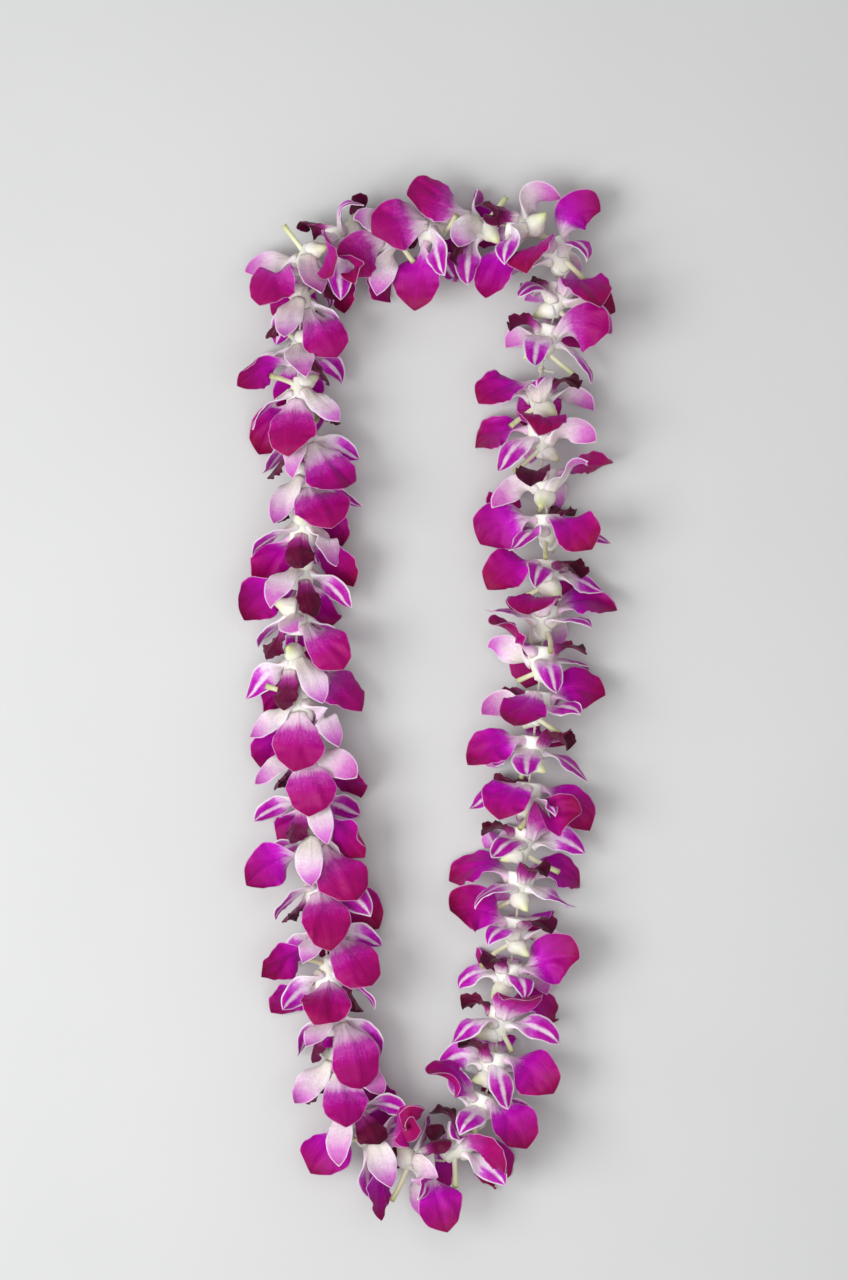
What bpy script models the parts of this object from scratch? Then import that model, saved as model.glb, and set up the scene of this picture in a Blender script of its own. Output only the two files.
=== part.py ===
# An orchid lei: orchid blooms strung one behind another on a cotton thread that is tied
# into a long loop. It lies flat, with the loop in the XY plane and its underside at z = 0.
# Sizes are in millimetres until the meshes are made, and angles are in degrees.

import math
import random

import bmesh
import bpy
from mathutils import Matrix, Vector
from mathutils.bvhtree import BVHTree

MM = 0.001
UP = Vector((0.0, 0.0, 1.0))

# The loop seen from above, anticlockwise from the top left corner: points of a smooth curve.
ROUTE = (
    (-57, 192), (-59, 150), (-56, 110), (-57, 70), (-60, 35), (-59, -5), (-54, -45),
    (-51, -85), (-46, -125), (-43, -160), (-38, -194), (-23, -218), (-1, -227),
    (19, -218), (31, -193), (38, -158), (44, -122), (48, -82), (52, -40), (56, 0),
    (59, 40), (60, 80), (57, 118), (57, 150), (63, 178), (67, 200), (59, 216),
    (40, 222), (12, 220), (-16, 216), (-41, 215), (-54, 208),
)
ROUTE_STEPS = 24
THREAD_HEIGHT = 19.0
THREAD_RADIUS = 0.65
THREAD_SIDES = 6

# The knot, in a wider gap between two blooms, with its two cut tails.
KNOT_AFTER = 38
KNOT_GAP = 4.5
KNOT_LENGTH = 4.0
KNOT_RADIUS = 1.7
TAIL_LENGTH = 6.0
TAIL_INSET = 0.35
TAIL_SIDES = (1, 2)
TAIL_ROOM = 1.5
TAIL_ROOM_END = 1.4
# The knot's rings, as shares of its length and of its radius.
KNOT_RINGS = ((-0.5, 0.6), (-0.3, 1.0), (0.3, 1.0), (0.5, 0.6))

# The blooms and how far each is pushed along the thread from an even spacing.
BLOOMS = 48
PITCH_JITTER = 1.0
# A bloom's way along the thread is read this far to either side of its middle.
WAY_REACH = 4.0
# The turns about the thread that blooms settle at.
ROLLS = (0.0, 60.0, -60.0, 120.0, -120.0, 180.0)
ROLL_JITTER = 30.0
SEED = 11

# The fused base of a bloom, as (place along the thread, radius). The thread runs through it.
FUNNEL = ((-11.5, 2.3), (-5.8, 4.6), (-0.4, 7.0), (4.8, 6.4))
FUNNEL_SIDES = 6
BORE_RADIUS = 1.2
THREAD_REACH = 0.8
GUARD_REACH = 2.6

# Each kind of tepal: its length and width, where it is widest and how wide its root is, as
# shares, how blunt its tip is, the depth of its cup and the rows where its surface is worked
# out. A pose draws the lean and the curl as (middle, spread), the sway and the twist up to
# the value here, how far the blade turns level, and whether its front faces up.
TEPALS = {
    "petal": dict(
        length=30.0, width=24.0, widest=0.56, root=0.34, tip=0.72, cup=1.5,
        rows=(0.20, 0.52, 0.83), lean=(26, 28), curl=(-8, 40), sway=0.35, twist=22,
        flat=(0.35, 0.95), facing=0.8,
    ),
    "sepal": dict(
        length=25.5, width=13.5, widest=0.48, root=0.58, tip=0.8, cup=-1.1,
        rows=(0.28, 0.66), lean=(22, 28), curl=(-15, 55), sway=0.45, twist=45,
        flat=(0.2, 0.9), facing=0.75,
    ),
    "lip": dict(
        length=17.0, width=15.0, widest=0.60, root=0.50, tip=0.6, cup=4.2,
        rows=(0.22, 0.55, 0.85), lean=(46, 18), curl=(-35, 30), sway=0.45, twist=12,
        flat=(0.0, 0.25), facing=0.5,
    ),
}
# The bloom's organs round its axis: the side of the funnel, its band and the kind.
ORGANS = (
    (0, 2, "petal"), (2, 2, "petal"), (4, 2, "lip"),
    (1, 1, "sepal"), (3, 1, "sepal"), (5, 1, "sepal"),
)
BLADE_THICKNESS = 0.7
ROOT_THICKNESS = 1.3
ROOT_LIFT = 0.6
ROOT_ROOM = 4.5
CLEARANCE = 0.3
SPINE_STEPS = 12
LENGTH_DRAW = (0.9, 1.06)
WIDTH_DRAW = (0.88, 1.06)
CUP_DRAW = (0.3, 1.5)
RIPPLE = 1.2
RIPPLE_RATE = 7.0

# Gravity and the surface: tepals sag towards -Y and are pressed out of the upright.
SAG = 0.95
SAG_AT_ROOT = 0.2
PRESS = 0.55
PRESS_AT_ROOT = 0.3
# A blade turns level this fast from its root, and one that stands steeper than this share
# takes the drawn face.
LEVEL_RATE = 2.5
STEEP_SHARE = 0.5

# The chin under each bloom's lip and the cut flower stalk behind it.
CHIN_SIDE = 4
CHIN_LENGTH = 8.5
CHIN_SHARES = (0.55, 1.0)
CHIN_RADII = (4.3, 2.4)
CHIN_SIZE = (0.85, 1.1)
CHIN_LEAN = (0.0, 0.6)
CHIN_SWAY = 0.4
STALK_SIDE = 1
STALK_LENGTH = (9.0, 19.0)
STALK_SHARES = (0.2, 0.4, 0.4)
STALK_RADIUS = 1.15
STALK_FOOT = 0.25
STALK_LEAN = (-80, -25)
STALK_SWAY = 0.7
STALK_BEND = 0.35

# How often a pose is drawn before it is made smaller, and before the rule gives up. A swollen
# organ may reach this little below its clearance under the surface.
TRIES = 40
MOST_TRIES = 800
LOW_SLACK = 0.01
SHORTEN = 0.93
NEIGHBOURS = 3

FINISHES = {
    "magenta_tepal": ((0.36, 0.004, 0.20), 0.55),
    "cream_base": ((0.80, 0.79, 0.68), 0.50),
    "maroon_lip": ((0.13, 0.003, 0.045), 0.50),
    "green_stalk": ((0.66, 0.68, 0.36), 0.50),
    "cotton_thread": ((0.82, 0.80, 0.74), 0.90),
}
BLOOM_FINISHES = ("magenta_tepal", "cream_base", "maroon_lip", "green_stalk")
TEPAL, BASE, LIP, STALK = range(4)


def clear_scene():
    for old in list(bpy.data.objects):
        bpy.data.objects.remove(old, do_unlink=True)


def finish_materials():
    made = {}
    for name, (colour, roughness) in FINISHES.items():
        material = bpy.data.materials.new(name)
        material.use_nodes = True
        shader = material.node_tree.nodes["Principled BSDF"]
        shader.inputs["Base Color"].default_value = (*colour, 1.0)
        shader.inputs["Roughness"].default_value = roughness
        material.diffuse_color = (*colour, 1.0)
        made[name] = material
    return made


def smooth_loop():
    # A closed Catmull-Rom curve through the route's points, with the distance run at each point.
    count = len(ROUTE)
    curve = []
    for i in range(count):
        a, b, c, d = (Vector((*ROUTE[(i + k - 1) % count], THREAD_HEIGHT)) for k in range(4))
        for step in range(ROUTE_STEPS):
            t = step / ROUTE_STEPS
            curve.append(
                b + (c - a) * (t / 2) + (2 * a - 5 * b + 4 * c - d) * (t * t / 2)
                + (3 * b - a - 3 * c + d) * (t ** 3 / 2)
            )
    curve.append(curve[0].copy())
    runs = [0.0]
    for first, second in zip(curve, curve[1:]):
        runs.append(runs[-1] + (second - first).length)
    return curve, runs


def on_loop(loop, run):
    curve, runs = loop
    run %= runs[-1]
    low, high = 0, len(runs) - 1
    while high - low > 1:
        middle = (low + high) // 2
        if runs[middle] <= run:
            low = middle
        else:
            high = middle
    share = (run - runs[low]) / (runs[high] - runs[low])
    return curve[low].lerp(curve[high], share)


def seat_blooms(loop):
    # Each seat holds the bloom's place on the thread, the way it faces and its turn about it.
    rng = random.Random(SEED)
    pitch = (loop[1][-1] - KNOT_GAP) / BLOOMS
    seats = []
    for i in range(BLOOMS):
        run = (i + 0.5) * pitch + rng.uniform(-PITCH_JITTER, PITCH_JITTER)
        run += KNOT_GAP * (i > KNOT_AFTER)
        ahead = (on_loop(loop, run + WAY_REACH) - on_loop(loop, run - WAY_REACH)).normalized()
        roll = rng.choice(ROLLS) + rng.uniform(-ROLL_JITTER, ROLL_JITTER)
        seats.append(dict(
            origin=on_loop(loop, run),
            ahead=ahead,
            side=UP.cross(ahead),
            roll=math.radians(roll),
        ))
    return seats


def around(seat, angle):
    return seat["side"] * math.cos(angle) + UP * math.sin(angle)


def funnel_point(seat, place, radius, corner):
    angle = seat["roll"] + corner * math.tau / FUNNEL_SIDES
    return seat["origin"] + seat["ahead"] * place + around(seat, angle) * radius


def funnel_quad(seat, side, band):
    # Front left, front right, back left and back right corners of one side of the funnel.
    back, front = FUNNEL[band], FUNNEL[band + 1]
    return [
        funnel_point(seat, *front, side), funnel_point(seat, *front, side + 1),
        funnel_point(seat, *back, side), funnel_point(seat, *back, side + 1),
    ]


def blade_width(kind, share):
    spec = TEPALS[kind]
    widest, root = spec["widest"], spec["root"]
    if share < widest:
        return root + (1.0 - root) * math.sin(share / widest * math.pi / 2)
    return max(0.0, 1.0 - ((share - widest) / (1.0 - widest)) ** 2) ** spec["tip"]


def draw_pose(rng, kind, length):
    spec = TEPALS[kind]
    middle, spread = spec["lean"]
    turn, more = spec["curl"]
    return dict(
        length=length * spec["length"] * rng.uniform(*LENGTH_DRAW),
        width=length * spec["width"] * rng.uniform(*WIDTH_DRAW),
        lean=middle + spread * rng.uniform(-1, 1),
        curl=turn + more * rng.uniform(-1, 1),
        sway=spec["sway"] * rng.uniform(-1, 1),
        twist=spec["twist"] * rng.uniform(-1, 1),
        flat=rng.uniform(*spec["flat"]),
        faces=1.0 if rng.random() < spec["facing"] else -1.0,
        cup=spec["cup"] * rng.uniform(*CUP_DRAW),
        wave=rng.uniform(-1, 1),
    )


def tepal_spine(seat, side, band, pose):
    # The midrib as frames of (point, way across, way out of the front face).
    angle = seat["roll"] + (side + 0.5) * math.tau / FUNNEL_SIDES
    out, ahead = around(seat, angle), seat["ahead"]
    across = ahead.cross(out)
    quad = funnel_quad(seat, side, band)
    point = sum(quad, Vector()) / 4.0 + out * ROOT_LIFT
    frames = []
    for step in range(SPINE_STEPS + 1):
        share = step / SPINE_STEPS
        lean = math.radians(pose["lean"] + pose["curl"] * share)
        heading = out * math.cos(lean) + ahead * math.sin(lean) + across * pose["sway"] * share
        heading.z *= 1.0 - (1.0 - PRESS) * min(1.0, PRESS_AT_ROOT + share)
        heading.y -= SAG * (SAG_AT_ROOT + share)
        heading.normalize()
        broad = (across - heading * across.dot(heading)).normalized()
        level = UP.cross(heading)
        if abs(level.dot(broad)) > STEEP_SHARE * level.length:
            level *= math.copysign(1.0, level.dot(broad))
        else:
            level *= pose["faces"]
        wide = broad + (level - broad) * (pose["flat"] * min(1.0, LEVEL_RATE * share) * level.length)
        wide = (wide - heading * wide.dot(heading)).normalized()
        wide.rotate(Matrix.Rotation(math.radians(pose["twist"]) * share, 3, heading))
        frames.append((point.copy(), wide, heading.cross(wide)))
        point = point + heading * (pose["length"] / SPINE_STEPS)
    return frames


def spine_frame(frames, share):
    place = min(share * SPINE_STEPS, SPINE_STEPS - 1e-6)
    step = int(place)
    return [a.lerp(b, place - step) for a, b in zip(frames[step], frames[step + 1])]


def blade_row(frames, kind, pose, share, swell):
    # The left, middle and right points of a row on the front and on the back of the blade.
    point, wide, normal = spine_frame(frames, share)
    half = pose["width"] / 2.0 * blade_width(kind, share)
    thick = (BLADE_THICKNESS + ROOT_THICKNESS * (1.0 - share) ** 3) / 2.0 + swell
    lift = pose["cup"] * blade_width(kind, share) * math.sin(share * math.pi / 2)
    front, back = [], []
    for column in ((-1, 0, 1) if half > 0.01 else (0,)):
        ripple = RIPPLE * pose["wave"] * column * math.sin(RIPPLE_RATE * share)
        middle = point + wide * (half * column) + normal * (lift * abs(column) + ripple)
        up = normal
        if middle.z < thick - swell:
            middle.z = thick - swell
            up = UP if normal.z >= 0.0 else -UP
        front.append(middle + up * thick)
        back.append(middle - up * thick)
    return front, back


def blade_points(seat, side, band, kind, pose, swell=0.0):
    frames = tepal_spine(seat, side, band, pose)
    points = funnel_quad(seat, side, band)
    for share in (*TEPALS[kind]["rows"], 1.0):
        front, back = blade_row(frames, kind, pose, share, swell)
        points += front + back
    return points


def blade_faces(row_count):
    # The first ten faces join the funnel's quad to the first row.
    front, back = (4, 5, 6), (7, 8, 9)
    faces = []
    for (left, right), row in (((0, 1), front), ((2, 3), back)):
        faces += [(left, row[0], row[1]), (left, row[1], right), (right, row[1], row[2])]
    faces += [(0, 2, back[0]), (0, back[0], front[0]), (1, 3, back[2]), (1, back[2], front[2])]
    root_count = len(faces)
    for row in range(1, row_count):
        next_front = tuple(v + 6 for v in front)
        next_back = tuple(v + 6 for v in back)
        for a, b in ((front, next_front), (back, next_back)):
            faces += [(a[0], a[1], b[1]), (a[0], b[1], b[0]), (a[1], a[2], b[1]), (a[2], b[2], b[1])]
        for edge in (0, 2):
            faces += [(front[edge], next_front[edge], next_back[edge]),
                      (front[edge], next_back[edge], back[edge])]
        front, back = next_front, next_back
    tip, under = back[2] + 1, back[2] + 2
    faces += [(front[0], front[1], tip), (front[1], front[2], tip)]
    faces += [(back[0], back[1], under), (back[1], back[2], under)]
    for edge in (0, 2):
        faces += [(front[edge], tip, under), (front[edge], under, back[edge])]
    return faces, root_count


def tube_points(quad, stations):
    # A four-sided tube from one side of the funnel, with a ring at each (point, radius, way).
    points = list(quad)
    start = sum(quad, Vector()) / 4.0
    spokes = [corner - start for corner in quad]
    for point, radius, way in stations:
        for spoke in spokes:
            flat = spoke - way * spoke.dot(way)
            points.append(point + flat.normalized() * radius)
    return points


def tube_faces(ring_count):
    # The first eight faces join the funnel's quad to the first ring.
    faces = []
    order = (0, 1, 3, 2)
    for ring in range(ring_count):
        low, high = 4 * ring, 4 * (ring + 1)
        for a, b in zip(order, order[1:] + order[:1]):
            faces += [(low + a, low + b, high + b), (low + a, high + b, high + a)]
    last = 4 * ring_count
    faces += [(last, last + 1, last + 3), (last, last + 3, last + 2)]
    return faces, 8


def draw_chin(rng, size):
    return dict(
        size=size * rng.uniform(*CHIN_SIZE),
        lean=rng.uniform(*CHIN_LEAN),
        sway=rng.uniform(-CHIN_SWAY, CHIN_SWAY),
    )


def chin_points(seat, pose, swell=0.0):
    quad = funnel_quad(seat, CHIN_SIDE, 0)
    out = around(seat, seat["roll"] + (CHIN_SIDE + 0.5) * math.tau / FUNNEL_SIDES)
    across = seat["ahead"].cross(out)
    way = (out - seat["ahead"] * pose["lean"] + across * pose["sway"]).normalized()
    start = sum(quad, Vector()) / 4.0
    stations = []
    for share, radius in zip(CHIN_SHARES, CHIN_RADII):
        reach = CHIN_LENGTH * share * pose["size"]
        stations.append((start + way * reach, radius * pose["size"] + swell, way))
    return tube_points(quad, stations)


def draw_stalk(rng, length):
    return dict(
        length=length * rng.uniform(*STALK_LENGTH),
        lean=rng.uniform(*STALK_LEAN),
        sway=rng.uniform(-STALK_SWAY, STALK_SWAY),
        bend=rng.uniform(-STALK_BEND, STALK_BEND),
    )


def stalk_points(seat, pose, swell=0.0):
    quad = funnel_quad(seat, STALK_SIDE, 0)
    out = around(seat, seat["roll"] + (STALK_SIDE + 0.5) * math.tau / FUNNEL_SIDES)
    across = seat["ahead"].cross(out)
    lean = math.radians(pose["lean"])
    point = sum(quad, Vector()) / 4.0
    stations = []
    for share in STALK_SHARES:
        way = out * math.cos(lean) + seat["ahead"] * math.sin(lean)
        way = (way + across * pose["sway"] + out * pose["bend"] * len(stations)).normalized()
        point = point + way * (pose["length"] * share)
        stations.append((point, STALK_RADIUS + swell + STALK_FOOT * (not stations), way))
    return tube_points(quad, stations)


def tree_of(points, faces):
    return BVHTree.FromPolygons(points, faces, all_triangles=True)


def ring_gap(first, second):
    gap = abs(first - second)
    return min(gap, BLOOMS - gap)


def crosses(index, organ, placed):
    # An organ's root meets those beside it on the same funnel, so two such roots aren't compared.
    whole, blade = organ
    for other, other_whole, other_blade, is_funnel in placed:
        if ring_gap(index, other) > NEIGHBOURS:
            continue
        if other == index and is_funnel:
            if blade.overlap(other_blade):
                return True
        elif other == index:
            if blade.overlap(other_whole) or whole.overlap(other_blade):
                return True
        elif whole.overlap(other_whole):
            return True
    return False


def funnel_guard(seat, room):
    # The funnel and the thread beside it as one closed shape, which nothing else may cross.
    (back, _), (front, _) = FUNNEL[0], FUNNEL[-1]
    bare = THREAD_RADIUS + CLEARANCE
    stations = [(back - GUARD_REACH, bare), (back, bare)]
    stations += [(place, radius + room) for place, radius in FUNNEL]
    stations += [(front, bare), (front + GUARD_REACH, bare)]
    points, faces = [], []
    for place, radius in stations:
        points += [funnel_point(seat, place, radius, corner) for corner in range(FUNNEL_SIDES)]
    for band in range(len(stations) - 1):
        for corner in range(FUNNEL_SIDES):
            a = band * FUNNEL_SIDES + corner
            b = band * FUNNEL_SIDES + (corner + 1) % FUNNEL_SIDES
            faces += [(a, b, b + FUNNEL_SIDES), (a, b + FUNNEL_SIDES, a + FUNNEL_SIDES)]
    return points, faces


def place_organ(rng, index, draw, points_of, faces, root_count, placed):
    # Draws poses, smaller ones in time, until one crosses nothing that is already placed.
    size = 1.0
    for attempt in range(1, MOST_TRIES):
        pose = draw(rng, size)
        points = points_of(pose)
        organ = (tree_of(points, faces), tree_of(points, faces[root_count:]))
        low = min(point.z for point in points[4:])
        if low > -CLEARANCE - LOW_SLACK and not crosses(index, organ, placed):
            placed.append((index, *organ, False))
            return pose
        if attempt % TRIES == 0:
            size *= SHORTEN
    raise ValueError(f"bloom {index + 1} has no clear place for an organ")


def knot_place(seats):
    # The middle of the bare thread after the bloom that the knot follows, and its way.
    seat, after = seats[KNOT_AFTER], seats[KNOT_AFTER + 1]
    start = seat["origin"] + seat["ahead"] * (FUNNEL[-1][0] + THREAD_REACH)
    end = after["origin"] + after["ahead"] * (FUNNEL[0][0] - THREAD_REACH)
    return (start + end) / 2, (end - start).normalized()


def tail_guard(seats, side):
    # The room that one tail of the knot needs, as a square tube from the knot's middle.
    middle, way = knot_place(seats)
    out = UP.cross(way) * math.cos(math.radians(60 * side + 30))
    out += UP * math.sin(math.radians(60 * side + 30))
    across = way.cross(out)
    quad = [middle + across * a * TAIL_ROOM + way * b * TAIL_ROOM
            for a, b in ((-1, 1), (1, 1), (-1, -1), (1, -1))]
    reach = KNOT_RADIUS + TAIL_LENGTH + CLEARANCE
    return tube_points(quad, [(middle + out * reach, TAIL_ROOM_END * TAIL_ROOM, out)])


def arrange(seats):
    # Funnels come first, then every bloom's lip and chin, and then the tepals and the stalks.
    rng = random.Random(SEED + 1)
    placed, plans = [], []
    for index, seat in enumerate(seats):
        own = tree_of(*funnel_guard(seat, 0.0))
        roomy = tree_of(*funnel_guard(seat, ROOT_ROOM))
        placed.append((index, roomy, own, True))
        plans.append({})
    for side in TAIL_SIDES:
        room = tree_of(tail_guard(seats, side), tube_faces(1)[0])
        placed.append((KNOT_AFTER, room, room, False))
    for kinds in (("lip",), ("petal", "sepal")):
        for index, seat in enumerate(seats):
            if "lip" in kinds:
                plans[index]["chin"] = place_organ(
                    rng, index, draw_chin, lambda pose: chin_points(seat, pose, CLEARANCE),
                    *tube_faces(len(CHIN_SHARES)), placed,
                )
            for side, band, kind in ORGANS:
                if kind in kinds:
                    plans[index][side, band] = place_organ(
                        rng, index, lambda rng, size: draw_pose(rng, kind, size),
                        lambda pose: blade_points(seat, side, band, kind, pose, CLEARANCE),
                        *blade_faces(len(TEPALS[kind]["rows"])), placed,
                    )
    for index, seat in enumerate(seats):
        plans[index]["stalk"] = place_organ(
            rng, index, draw_stalk, lambda pose: stalk_points(seat, pose, CLEARANCE),
            *tube_faces(len(STALK_SHARES)), placed,
        )
    return plans


def add_organ(bm, rings, side, band, points, faces, root_count, finish):
    # An organ grows out of one side of the funnel and shares that side's four corners.
    after = (side + 1) % FUNNEL_SIDES
    front, back = rings[band + 1], rings[band]
    corners = [front[side], front[after], back[side], back[after]]
    corners += [bm.verts.new(point * MM) for point in points[4:]]
    for i, face in enumerate(faces):
        bm.faces.new([corners[c] for c in face]).material_index = finish if i >= root_count else BASE


def build_bloom(name, seat, plan, materials):
    bm = bmesh.new()
    rings = []
    for place, radius in FUNNEL:
        rings.append([
            bm.verts.new(funnel_point(seat, place, radius, corner) * MM)
            for corner in range(FUNNEL_SIDES)
        ])
    bore = []
    for place in (FUNNEL[0][0], FUNNEL[-1][0]):
        bore.append([
            bm.verts.new(funnel_point(seat, place, BORE_RADIUS, corner) * MM)
            for corner in range(FUNNEL_SIDES)
        ])
    taken = {(side, band) for side, band, kind in ORGANS} | {(CHIN_SIDE, 0), (STALK_SIDE, 0)}
    loops = [(bore[0], rings[0], None), (rings[-1], bore[1], None), (bore[1], bore[0], None)]
    loops += [(rings[band], rings[band + 1], band) for band in range(len(rings) - 1)]
    for low, high, band in loops:
        for corner in range(FUNNEL_SIDES):
            after = (corner + 1) % FUNNEL_SIDES
            if (corner, band) not in taken:
                face = bm.faces.new((low[corner], low[after], high[after], high[corner]))
                face.material_index = BASE
    for side, band, kind in ORGANS:
        points = blade_points(seat, side, band, kind, plan[side, band])
        faces, root_count = blade_faces(len(TEPALS[kind]["rows"]))
        finish = LIP if kind == "lip" else TEPAL
        add_organ(bm, rings, side, band, points, faces, root_count, finish)
    chin = chin_points(seat, plan["chin"])
    add_organ(bm, rings, CHIN_SIDE, 0, chin, *tube_faces(len(CHIN_SHARES)), BASE)
    stalk = stalk_points(seat, plan["stalk"])
    add_organ(bm, rings, STALK_SIDE, 0, stalk, *tube_faces(len(STALK_SHARES)), STALK)
    bmesh.ops.recalc_face_normals(bm, faces=bm.faces)
    if bm.calc_volume(signed=True) < 0.0:
        bmesh.ops.reverse_faces(bm, faces=bm.faces)
    bmesh.ops.triangulate(bm, faces=bm.faces)
    mesh = bpy.data.meshes.new(name)
    bm.to_mesh(mesh)
    bm.free()
    for finish in BLOOM_FINISHES:
        mesh.materials.append(materials[finish])
    bloom = bpy.data.objects.new(name, mesh)
    bpy.context.collection.objects.link(bloom)
    return bloom


def thread_stations(seats):
    # The thread runs straight through each funnel, and straight on to the next one.
    stations = []
    for index, seat in enumerate(seats):
        for place in (FUNNEL[0][0] - THREAD_REACH, FUNNEL[-1][0] + THREAD_REACH):
            stations.append((seat["origin"] + seat["ahead"] * place, THREAD_RADIUS))
        if index == KNOT_AFTER:
            middle, way = knot_place(seats)
            for share, radius in KNOT_RINGS:
                stations.append((middle + way * KNOT_LENGTH * share, KNOT_RADIUS * radius))
    return stations


def build_thread(seats, materials):
    bm = bmesh.new()
    stations = thread_stations(seats)
    count = len(stations)
    rings = []
    for i, (point, radius) in enumerate(stations):
        way = (stations[(i + 1) % count][0] - stations[i - 1][0]).normalized()
        side = UP.cross(way).normalized()
        ring = []
        for corner in range(THREAD_SIDES):
            angle = corner * math.tau / THREAD_SIDES
            ring.append(bm.verts.new(
                (point + (side * math.cos(angle) + UP * math.sin(angle)) * radius) * MM
            ))
        rings.append(ring)
    tails = []
    for i in range(count):
        low, high = rings[i], rings[(i + 1) % count]
        swollen = stations[i][1] == stations[(i + 1) % count][1] == KNOT_RADIUS
        for corner in range(THREAD_SIDES):
            after = (corner + 1) % THREAD_SIDES
            face = bm.faces.new((low[corner], low[after], high[after], high[corner]))
            if swollen and corner in TAIL_SIDES:
                tails.append(face)
    bmesh.ops.recalc_face_normals(bm, faces=bm.faces)
    for face in tails:
        add_tail(bm, face)
    bmesh.ops.triangulate(bm, faces=bm.faces)
    mesh = bpy.data.meshes.new("thread")
    bm.to_mesh(mesh)
    bm.free()
    mesh.materials.append(materials["cotton_thread"])
    thread = bpy.data.objects.new("thread", mesh)
    bpy.context.collection.objects.link(thread)
    return thread


def add_tail(bm, face):
    way = face.normal.copy()
    bmesh.ops.inset_individual(bm, faces=[face], thickness=TAIL_INSET * MM)
    for step in range(2):
        grown = bmesh.ops.extrude_discrete_faces(bm, faces=[face])["faces"]
        face = grown[0]
        bmesh.ops.translate(bm, verts=face.verts, vec=way * TAIL_LENGTH / 2 * MM)


def set_down(objects):
    # The origin is under the middle of the whole lei, on the surface that it lies on.
    corners = [vertex.co for item in objects for vertex in item.data.vertices]
    low = Vector(min(corner[axis] for corner in corners) for axis in range(3))
    high = Vector(max(corner[axis] for corner in corners) for axis in range(3))
    shift = Vector(((low.x + high.x) / 2, (low.y + high.y) / 2, low.z))
    for item in objects:
        item.data.transform(Matrix.Translation(-shift))
    print("size in mm", [round(v / MM, 2) for v in high - low], "shift", [round(v / MM, 3) for v in shift])


def main():
    clear_scene()
    materials = finish_materials()
    seats = seat_blooms(smooth_loop())
    plans = arrange(seats)
    objects = [build_thread(seats, materials)]
    for index, (seat, plan) in enumerate(zip(seats, plans)):
        objects.append(build_bloom(f"bloom_{index + 1:02d}", seat, plan, materials))
    set_down(objects)


main()
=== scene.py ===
import bisect
import functools
import math
import random

import bpy
import numpy as np
from mathutils import Matrix, Vector
from mathutils.bvhtree import BVHTree


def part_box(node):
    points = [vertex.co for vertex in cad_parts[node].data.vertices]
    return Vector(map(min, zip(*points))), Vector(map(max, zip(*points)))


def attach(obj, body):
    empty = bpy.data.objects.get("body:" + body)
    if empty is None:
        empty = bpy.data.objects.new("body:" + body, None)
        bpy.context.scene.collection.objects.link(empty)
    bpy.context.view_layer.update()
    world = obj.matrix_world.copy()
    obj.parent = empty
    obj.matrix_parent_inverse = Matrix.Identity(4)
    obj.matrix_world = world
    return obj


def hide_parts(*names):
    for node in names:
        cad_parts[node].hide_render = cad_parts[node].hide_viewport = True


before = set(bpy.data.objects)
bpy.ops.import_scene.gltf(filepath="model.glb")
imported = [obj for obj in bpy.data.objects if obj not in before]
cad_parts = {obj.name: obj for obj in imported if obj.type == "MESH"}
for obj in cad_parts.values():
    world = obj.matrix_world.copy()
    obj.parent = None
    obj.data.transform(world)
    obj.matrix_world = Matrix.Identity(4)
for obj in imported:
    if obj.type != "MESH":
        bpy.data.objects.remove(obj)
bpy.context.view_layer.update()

# Orchid lei laid on a pale surface. The rule that seats the blooms and bends their tepals is the
# part's own, drawn again here, so that each fine bloom lies where its plain solid lies.
# Lengths are in millimetres until a mesh is written.

mm = 0.001
upward = Vector((0.0, 0.0, 1.0))

strand = dict(
    route=(
        (-57, 192), (-59, 150), (-56, 110), (-57, 70), (-60, 35), (-59, -5), (-54, -45),
        (-51, -85), (-46, -125), (-43, -160), (-38, -194), (-23, -218), (-1, -227),
        (19, -218), (31, -193), (38, -158), (44, -122), (48, -82), (52, -40), (56, 0),
        (59, 40), (60, 80), (57, 118), (57, 150), (63, 178), (67, 200), (59, 216),
        (40, 222), (12, 220), (-16, 216), (-41, 215), (-54, 208),
    ),
    steps=24, height=19.0, radius=0.65, wayReach=4.0,
    knotAfter=38, knotGap=4.5, knotRadius=1.7, knotLength=4.0,
    tailLength=6.0, tailSides=(1, 2), tailRoom=1.5, tailRoomEnd=1.4,
)
seating = dict(
    blooms=48, pitchJitter=1.0, rolls=(0.0, 60.0, -60.0, 120.0, -120.0, 180.0), rollJitter=30.0,
    seed=11, tries=40, mostTries=800, shorten=0.93, neighbours=3, clearance=0.3, lowSlack=0.01,
)
funnel = dict(
    stations=((-11.5, 2.3), (-5.8, 4.6), (-0.4, 7.0), (4.8, 6.4)), sides=6,
    threadReach=0.8, guardReach=2.6, rootRoom=4.5,
)
tepals = {
    "petal": dict(
        length=30.0, width=24.0, widest=0.56, root=0.34, tip=0.72, cup=1.5,
        rows=(0.20, 0.52, 0.83), lean=(26, 28), curl=(-8, 40), sway=0.35, twist=22,
        flat=(0.35, 0.95), facing=0.8,
    ),
    "sepal": dict(
        length=25.5, width=13.5, widest=0.48, root=0.58, tip=0.8, cup=-1.1,
        rows=(0.28, 0.66), lean=(22, 28), curl=(-15, 55), sway=0.45, twist=45,
        flat=(0.2, 0.9), facing=0.75,
    ),
    "lip": dict(
        length=17.0, width=15.0, widest=0.60, root=0.50, tip=0.6, cup=4.2,
        rows=(0.22, 0.55, 0.85), lean=(46, 18), curl=(-35, 30), sway=0.45, twist=12,
        flat=(0.0, 0.25), facing=0.5,
    ),
}
organs = (
    (0, 2, "petal"), (2, 2, "petal"), (4, 2, "lip"),
    (1, 1, "sepal"), (3, 1, "sepal"), (5, 1, "sepal"),
)
draws = dict(length=(0.9, 1.06), width=(0.88, 1.06), cup=(0.3, 1.5))
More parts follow.
